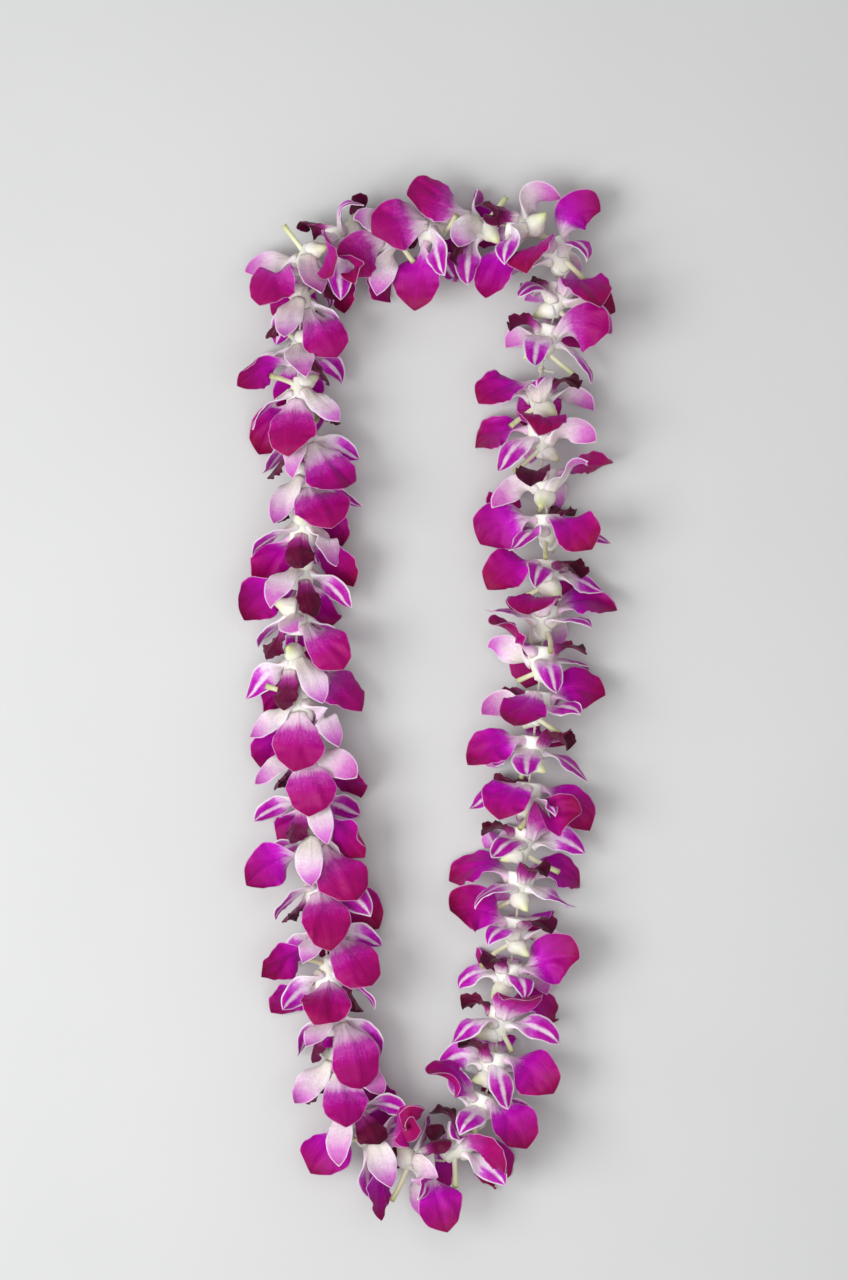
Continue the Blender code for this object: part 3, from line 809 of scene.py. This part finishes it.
def tepalBlank(kind):
    columns, rows = blanks[kind]
    deselectAll()
    bpy.ops.mesh.primitive_grid_add(x_subdivisions=columns, y_subdivisions=rows, size=2)
    blank = bpy.context.active_object
    blank.name = kind + "Blank"
    crowdCells(blank, 1, rows, lambda share: 1 - 2 * (1 - share) ** blanks["crowd"])
    crowdCells(blank, 0, columns, lambda share: (
        (2 * share - 1) * (1 + blanks["crowdAcross"] * (1 - (2 * share - 1) ** 2))))
    setMode("OBJECT")
    applyModifier(blank, "SOLIDIFY", dict(thickness=2.0, offset=0.0))
    blank.data.uv_layers[0].name = "organMap"
    shadeSmooth(blank)
    return blank


def roundBlank(kind, rows, closed):
    # a rod along z from 0 to 1 with rings of cells, open or closed at its far end
    deselectAll()
    bpy.ops.mesh.primitive_cylinder_add(
        vertices=blanks["round"], radius=1.0, depth=1.0, location=(0, 0, 0.5),
        end_fill_type="NGON" if closed else "NOTHING",
    )
    blank = bpy.context.active_object
    blank.name = kind + "Blank"
    bpy.ops.object.transform_apply(location=True)
    setMode("EDIT")
    for row in range(1, rows):
        bpy.ops.mesh.select_all(action="SELECT")
        bpy.ops.mesh.bisect(plane_co=(0, 0, row / rows), plane_no=(0, 0, 1))
    setMode("OBJECT")
    mesh = blank.data
    layer = mesh.uv_layers[0]
    for polygon in mesh.polygons:
        middle = math.atan2(polygon.center.y, polygon.center.x)
        for corner in polygon.loop_indices:
            co = mesh.vertices[mesh.loops[corner].vertex_index].co
            turn = math.atan2(co.y, co.x)
            turn += math.tau * round((middle - turn) / math.tau)
            layer.data[corner].uv = (turn / math.tau + 0.5, co.z)
    blank.data.uv_layers[0].name = "organMap"
    shadeSmooth(blank)
    return blank


models = {kind: tepalBlank(kind) for kind in tissues}
models.update({kind: roundBlank(kind, rows, closed) for kind, rows, closed in blanks["rounds"]})
print("blanks modelled")


# Fine form, laid over the plain one

fineBlade = dict(
    # places and widths are shares, along from the root or across from the midrib
    seed=900, lobeRate=5.0, corners=((0.46, 0.62), (0.78, 0.88)), cupSoft=0.02, cupLow=0.14,
    rippleGrowth=1.6, crimpGrowth=3.0, crimpRate=2.3, creaseWidth=0.1, tipFrom=0.78,
    folds=2, foldFrom=(0.15, 0.5), foldSlant=(1.0, 2.2), foldWidth=0.16, foldGrowth=5.0,
    rollAt=(0.45, 0.85), rollLength=0.18, rollFrom=0.5, rollTuck=0.28,
    flareLength=2.2, flareThin=0.6,   # in mm, and how much of it the margin loses
)
fineTepals = {
    # heights are in mm, root is where the blade starts inside the funnel
    "petal": dict(root=-0.07, crimp=0.8, crimps=2.6, crease=0.9, vein=0.11, veins=7, tipCurl=3.2,
                  margin=0.75, flare=1.6, wobble=0.1, fold=2.3, roll=4.2, angular=0.6, spread=1.05),
    "sepal": dict(root=-0.08, crimp=0.35, crimps=2.2, crease=0.55, vein=0.05, veins=4, tipCurl=2.6,
                  margin=0.7, flare=1.5, wobble=0.05, fold=0.6, roll=1.4, angular=0.45, spread=1.05),
    "lip": dict(root=-0.12, crimp=1.0, crimps=2.8, crease=0.6, vein=0.12, veins=6, tipCurl=-1.5,
                margin=0.6, flare=1.3, wobble=0.09, fold=0.7, roll=0.8, angular=0.8, spread=1.0),
}


def alongCurve(points, share):
    # a smooth curve through evenly spaced points, read at many shares at once
    points = asArray(points)
    padded = np.vstack([2 * points[0] - points[1], points, 2 * points[-1] - points[-2]])
    place = np.clip(share, 0.0, 1.0) * (len(points) - 1)
    step = np.minimum(place.astype(int), len(points) - 2)
    t = (place - step)[:, None]
    return smoothBetween(*(padded[step + k] for k in range(4)), t)


def bladeWidths(kind, shares):
    return np.array([bladeWidth(kind, share) for share in shares])


def unit(ways):
    return ways / np.linalg.norm(ways, axis=1)[:, None]


def meshPoints(mesh):
    points = np.empty(len(mesh.vertices) * 3, np.float64)
    mesh.vertices.foreach_get("co", points)
    return points.reshape(-1, 3)


def writeTraits(mesh, front, margin, tint):
    for name, values in (("front", front), ("margin", margin), ("tint", tint)):
        everywhere = np.broadcast_to(values, len(mesh.vertices)).astype(np.float32)
        mesh.attributes.new(name, "FLOAT", "POINT").data.foreach_set("value", everywhere)


def copyOf(kind, finish):
    piece = models[kind].copy()
    piece.data = models[kind].data.copy()
    bpy.context.collection.objects.link(piece)
    giveFinish(piece, finishes[finish])
    return piece


def writePoints(piece, points):
    placed = (points - shift) * mm
    placed[:, 2] = np.maximum(placed[:, 2], 0.0)   # nothing sinks into the surface
    piece.data.vertices.foreach_set("co", placed.astype(np.float32).ravel())
    piece.data.update()


def layRound(piece, points, rng):
    # a round piece has no back and no margin
    writePoints(piece, points)
    writeTraits(piece.data, 1.0, 5.0, rng.random())
    return piece


def bendTepal(seat, side, band, kind, pose, rng):
    piece = copyOf(kind, kind)
    fine, form = fineTepals[kind], fineBlade
    flat = meshPoints(piece.data)
    across, along, face = -flat[:, 0], (flat[:, 1] + 1) / 2, flat[:, 2]
    share = fine["root"] + (1.0 - fine["root"]) * along
    held = np.clip(share, 0.0, 1.0)
    frames = tepalSpine(seat, side, band, pose)
    point, wide, normal = (alongCurve(part, held) for part in zip(*frames))
    wide, normal = unit(wide), unit(normal)
    first = np.array(frames[1][0] - frames[0][0]) * blade["steps"]
    point = point + np.minimum(share, 0.0)[:, None] * first
    phases = [rng.uniform(0, math.tau) for _ in range(4)]
    edge, right = np.abs(across), across > 0
    lobe = fine["spread"] + fine["wobble"] * np.sin(form["lobeRate"] * share + phases[0] + right * 2.0)
    width = bladeWidths(kind, held)
    # each margin has its own two blunt corners, so that no two tepals share an outline
    corners = [[0.0, 0.2, *(rng.uniform(*at) for at in form["corners"]), 1.0] for _ in range(2)]
    angular = np.where(right, *(np.interp(held, at, bladeWidths(kind, at)) for at in corners))
    width = width + (angular - width) * fine["angular"]
    half = pose["width"] / 2.0 * width * lobe
    cup = np.sqrt(across ** 2 + form["cupSoft"]) - form["cupLow"]
    lift = pose["cup"] * width * np.sin(held * np.pi / 2) * cup
    ripple = blade["ripple"] * pose["wave"] * across * np.sin(blade["rippleRate"] * held)
    ripple *= np.minimum(1.0, form["rippleGrowth"] * width)
    turns = math.tau * fine["crimps"] * held
    crimp = np.sin(turns + phases[1] + right * 1.9)
    crimp += 0.5 * np.sin(form["crimpRate"] * turns + phases[2])
    crimp *= fine["crimp"] * edge ** 3 * np.minimum(1.0, form["crimpGrowth"] * held) * width
    crease = -fine["crease"] * np.exp(-(across / form["creaseWidth"]) ** 2) * (1.0 - held ** 3)
    veins = fine["vein"] * np.cos(math.pi * fine["veins"] * across) * (1.0 - edge ** 2)
    beyond = np.maximum(0.0, held - form["tipFrom"]) / (1.0 - form["tipFrom"])
    tipCurl = fine["tipCurl"] * math.sin(phases[3]) * beyond ** 2
    folds = 0.0
    for _ in range(form["folds"]):
        # a slack fold that leaves the midrib at one place and runs out to the margin
        start = rng.uniform(*form["foldFrom"])
        slant = rng.choice((-1, 1)) * rng.uniform(*form["foldSlant"])
        height = fine["fold"] * rng.uniform(-1, 1)
        aside = np.abs(across - slant * (held - start)) / form["foldWidth"]
        folds += height * np.exp(-aside) * np.sin(np.pi * held) * (across * slant > 0)
    # one margin rolls over near a place along it
    rolledSide, rollPlace = rng.choice((-1, 1)), rng.uniform(*form["rollAt"])
    rollSize = rng.random() ** 2
    near = rollSize * np.exp(-((held - rollPlace) / form["rollLength"]) ** 2)
    pull = np.maximum(0.0, across * rolledSide - form["rollFrom"]) / (1.0 - form["rollFrom"])
    roll = fine["roll"] * near * pull ** 2
    half = half * (1.0 - form["rollTuck"] * near * pull)
    folds *= np.minimum(1.0, form["foldGrowth"] * edge)
    offset = lift + ripple + crimp + crease + veins + tipCurl + folds + roll
    middle = point + wide * (half * across)[:, None] + normal * offset[:, None]
    thick = (blade["thickness"] + blade["rootThickness"] * (1.0 - held) ** 3) / 2.0
    thick = thick * (1.0 - fine["margin"] * edge ** 4)
    flare = fine["flare"] * np.exp(-np.maximum(share, 0.0) * pose["length"] / form["flareLength"])
    thick += flare * (1.0 - form["flareThin"] * edge ** 2)
    low = middle[:, 2] < thick
    middle[low, 2] = thick[low]
    upright = np.where(normal[:, 2] >= 0.0, 1.0, -1.0)
    normal[low] = np.outer(upright[low], upward)
    writePoints(piece, middle + normal * (thick * face)[:, None])
    writeTraits(piece.data, (face + 1) / 2, half * (1.0 - edge), rng.random())
    return piece


bodyForm = dict(
    # the funnel's outside, its open throat and the bore for the thread, as (place, radius)
    profile=((-11.5, 1.2), (-11.7, 1.9), (-11.2, 2.4), (-9.0, 3.1), (-6.0, 4.4), (-3.2, 5.6),
             (-0.6, 6.4), (2.0, 6.6), (4.2, 6.3), (4.9, 5.7), (4.3, 5.0), (2.2, 4.0), (-1.0, 2.6),
             (-4.0, 1.2)),
    lobes=3, lobeHeight=0.05, lobeTurn=0.4, lobesTo=0.62, bore=1.2,
)


def bendFunnel(seat, rng):
    piece = copyOf("funnel", "base")
    flat = meshPoints(piece.data)
    turn = np.arctan2(flat[:, 1], flat[:, 0])
    place, radius = alongCurve(bodyForm["profile"], flat[:, 2]).T
    lobes = np.cos(bodyForm["lobes"] * turn + rng.uniform(-bodyForm["lobeTurn"], bodyForm["lobeTurn"]))
    lobes *= np.where(flat[:, 2] < bodyForm["lobesTo"], bodyForm["lobeHeight"], 0.0)
    radius = np.maximum(radius * (1.0 + lobes), bodyForm["bore"])
    angle = turn + seat["roll"]
    origin, ahead, side = (np.array(seat[key]) for key in ("origin", "ahead", "side"))
    spoke = np.outer(np.cos(angle), side) + np.outer(np.sin(angle), np.array(upward))
    layRound(piece, origin + np.outer(place, ahead) + spoke * radius[:, None], rng)
    selectOnly(piece)
    setMode("EDIT")
    bpy.ops.mesh.select_all(action="DESELECT")
    bpy.ops.mesh.select_mode(type="EDGE")
    bpy.ops.mesh.select_non_manifold()
    bpy.ops.mesh.bridge_edge_loops()
    setMode("OBJECT")
    return piece


def roundAbout(piece, points, radii, across):
    # the blank's rod laid along a curve; radii are read along it as well
    flat = meshPoints(piece.data)
    share = flat[:, 2]
    middle = alongCurve(points, share)
    ahead = unit(alongCurve(points, share + 0.02) - alongCurve(points, share - 0.02))
    first = unit(np.array(across) - ahead * (ahead @ np.array(across))[:, None])
    second = np.cross(ahead, first)
    first, second = (way * part[:, None] for way, part in ((first, flat[:, 0]), (second, flat[:, 1])))
    return middle + (first + second) * alongCurve([(value,) for value in radii], share)


# radii along the piece, how deep its foot sinks into the funnel, and how far the chin's end droops
chinForm = dict(
    radii=(4.9, 4.9, 4.5, 3.9, 3.2, 2.5, 1.7, 0.3), sink=2.6, shoulder=0.4, droops=(0.7, 1.4),
)
stalkForm = dict(radii=(1.9, 1.5, 1.3, 1.2, 1.2, 1.25, 1.35), sink=1.6)


def bendChin(seat, pose, rng):
    piece = copyOf("chin", "chin")
    quad, stations = chinStations(seat, pose)
    start = middleOf(quad)
    (middle, _, way), (end, _, _) = stations
    points = [start - way * chinForm["sink"], start.lerp(middle, chinForm["shoulder"])]
    points += [point - seat["ahead"] * droop for point, droop in zip((middle, end), chinForm["droops"])]
    radii = [radius * pose["size"] for radius in chinForm["radii"]]
    return layRound(piece, roundAbout(piece, points, radii, seat["ahead"]), rng)


def bendStalk(seat, pose, rng):
    piece = copyOf("stalk", "stalk")
    quad, stations = stalkStations(seat, pose)
    start, way = middleOf(quad), stations[0][2]
    points = [start - way * stalkForm["sink"], start] + [point for point, _, _ in stations]
    across = seat["ahead"].cross(way)
    return layRound(piece, roundAbout(piece, points, stalkForm["radii"], across), rng)


def joinPieces(pieces, name):
    whole = pieces[0]
    selectOnly(whole)
    for piece in pieces:
        piece.select_set(True)
    bpy.ops.object.join()
    whole.name = whole.data.name = name
    setMode("EDIT")
    bpy.ops.mesh.select_all(action="SELECT")
    bpy.ops.mesh.remove_doubles(threshold=0.00001)
    bpy.ops.mesh.dissolve_degenerate(threshold=0.000001)
    setMode("OBJECT")
    return whole


def makeBloom(index):
    seat, plan = seats[index], plans[index]
    rng = random.Random(fineBlade["seed"] + index)
    pieces = [bendFunnel(seat, rng)]
    pieces += [bendChin(seat, plan["chin"], rng), bendStalk(seat, plan["stalk"], rng)]
    for side, band, kind in organs:
        pieces.append(bendTepal(seat, side, band, kind, plan[side, band], rng))
    bloom = joinPieces(pieces, f"orchidBloom{index + 1:02d}")
    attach(bloom, "root")
    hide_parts(f"bloom_{index + 1:02d}")
    return bloom


blooms = [makeBloom(index) for index in range(seating["blooms"])]
for blank in models.values():
    bpy.data.objects.remove(blank, do_unlink=True)
triangles = sum(len(polygon.vertices) - 2 for polygon in blooms[0].data.polygons)
print("blooms made", len(blooms), "triangles in the first", triangles)


# The cotton string, two plies laid round each other, with its knot

string = dict(
    plyRadius=0.34, plyAside=0.9, lay=3.0, stepsPerTurn=8, resolution=1,
    knotPly=0.5, knotSteps=40, knotFill=0.7, wraps=3.2, wrapRadius=1.15, wrapRound=0.25,
    tailShares=(0.25, 0.4, 0.6, 0.8, 1.0), tailDrift=(0.9, -0.8),
)


def stringCourse():
    points = []
    reach = funnel["threadReach"]
    for seat in seats:
        for place in (funnel["stations"][0][0] - reach, funnel["stations"][-1][0] + reach):
            points.append(seat["origin"] + seat["ahead"] * place)
    return points


def tubeAlong(name, points, radius, closed):
    curve = bpy.data.curves.new(name, "CURVE")
    curve.dimensions = "3D"
    curve.bevel_depth = radius * mm
    curve.bevel_resolution = string["resolution"]
    curve.use_fill_caps = not closed
    spline = curve.splines.new("POLY")
    spline.points.add(len(points) - 1)
    for target, point in zip(spline.points, points):
        target.co = (*((point - shift) * mm), 1.0)
    spline.use_cyclic_u = closed
    tube = bpy.data.objects.new(name, curve)
    bpy.context.collection.objects.link(tube)
    selectOnly(tube)
    bpy.ops.object.convert(target="MESH")
    return bpy.context.active_object


def plyCourse(course, turnsAhead):
    corners = asArray(course)
    ends = np.roll(corners, -1, axis=0)
    lengths = np.linalg.norm(ends - corners, axis=1)
    total = lengths.sum()
    turns = round(total / string["lay"])
    count = turns * string["stepsPerTurn"]
    runs = np.arange(count) / count * total
    starts = np.concatenate([[0.0], np.cumsum(lengths)])
    leg = np.clip(np.searchsorted(starts, runs, side="right") - 1, 0, len(course) - 1)
    share = ((runs - starts[leg]) / lengths[leg])[:, None]
    middle = corners[leg] * (1 - share) + ends[leg] * share
    ahead = unit(np.roll(middle, -1, axis=0) - np.roll(middle, 1, axis=0))
    side = unit(np.cross(np.array(upward), ahead))
    angle = (np.arange(count) / string["stepsPerTurn"] + turnsAhead) * math.tau
    spoke = side * np.cos(angle)[:, None] + np.cross(ahead, side) * np.sin(angle)[:, None]
    return middle + spoke * string["plyRadius"] * string["plyAside"]


def knotCourse():
    middle, way = knotPlace(seats)
    side = upward.cross(way).normalized()
    reach, steps = strand["knotRadius"] + strand["tailLength"], string["knotSteps"]
    wraps = []
    for step in range(steps + 1):
        angle = math.tau * string["wraps"] * step / steps + math.radians(90)
        run = (step / steps - 0.5) * strand["knotLength"] * string["knotFill"]
        swell = string["wrapRadius"] * (1.0 - string["wrapRound"] * abs(2 * step / steps - 1) ** 2)
        spoke = side * math.cos(angle) + upward * math.sin(angle)
        wraps.append(middle + way * run + spoke * swell)
    first, last = (
        [middle + tailWay(way, turned) * reach * share + way * (drift * share)
         for share in string["tailShares"]]
        for turned, drift in zip(strand["tailSides"], string["tailDrift"]))
    return [np.array(point) for point in first[::-1] + wraps + last]


def makeString():
    course = stringCourse()
    length = sum((b - a).length for a, b in zip(course, course[1:] + course[:1]))
    print("string laid, mm round the loop", round(length))
    pieces = [tubeAlong("ply", plyCourse(course, half), string["plyRadius"], True)
              for half in (0.0, 0.5)]
    pieces.append(tubeAlong("knot", knotCourse(), string["knotPly"], False))
    cottonFinish = mattMaterial(cotton)
    for piece in pieces:
        giveFinish(piece, cottonFinish)
        shadeSmooth(piece)
    whole = joinPieces(pieces, "twistedString")
    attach(whole, "root")
    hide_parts("thread")
    return whole


twistedString = makeString()
print("string made, faces", len(twistedString.data.polygons))


# Surface, light and camera

setting = dict(
    floor=6.0,
    middle=(-0.0008, 0.0307), viewHeight=0.614, distance=1.7, eyeLevel=0.02, sensor=36.0,
    lightAt=(-0.95, -0.2, 1.15), lightSize=0.8, lightPower=15.6, lightColour="#FAFCFC",
    fillAt=(-0.05, -0.06, 0.8), fillSize=0.7, fillPower=2.6, fillColour="#F9FBFC",
    world="#F4F5F6", worldStrength=0.47,
)


def makeStage():
    deselectAll()
    bpy.ops.mesh.primitive_plane_add(size=setting["floor"], location=(0, 0, 0))
    floor = bpy.context.active_object
    floor.name = "paleFloor"
    giveFinish(floor, mattMaterial(plaster))


def makeLamp(name):
    data = bpy.data.lights.new(name, "AREA")
    data.shape = "SQUARE"
    data.size = setting[name + "Size"]
    data.energy = setting[name + "Power"]
    data.color = paint(setting[name + "Colour"])[:3]
    lamp = bpy.data.objects.new(name, data)
    bpy.context.collection.objects.link(lamp)
    lamp.location = setting[name + "At"]
    lamp.rotation_euler = (-Vector(setting[name + "At"])).to_track_quat("-Z", "Y").to_euler()
    lamp.visible_camera = False


def makeRoom():
    world = bpy.data.worlds.new("softRoom")
    world.use_nodes = True
    fillSockets(world.node_tree.nodes["Background"], {
        "Color": paint(setting["world"]), "Strength": setting["worldStrength"]})
    bpy.context.scene.world = world


def makeCamera():
    data = bpy.data.cameras.new("camera")
    data.sensor_width = setting["sensor"]
    data.lens = setting["sensor"] * setting["distance"] / setting["viewHeight"]
    data.clip_end = 10.0
    camera = bpy.data.objects.new("camera", data)
    bpy.context.collection.objects.link(camera)
    camera.location = (*setting["middle"], setting["distance"] + setting["eyeLevel"])
    bpy.context.scene.camera = camera


makeStage()
makeLamp("light")
makeLamp("fill")
makeRoom()
makeCamera()
bpy.context.scene.view_settings.view_transform = "Standard"
print("stage set")
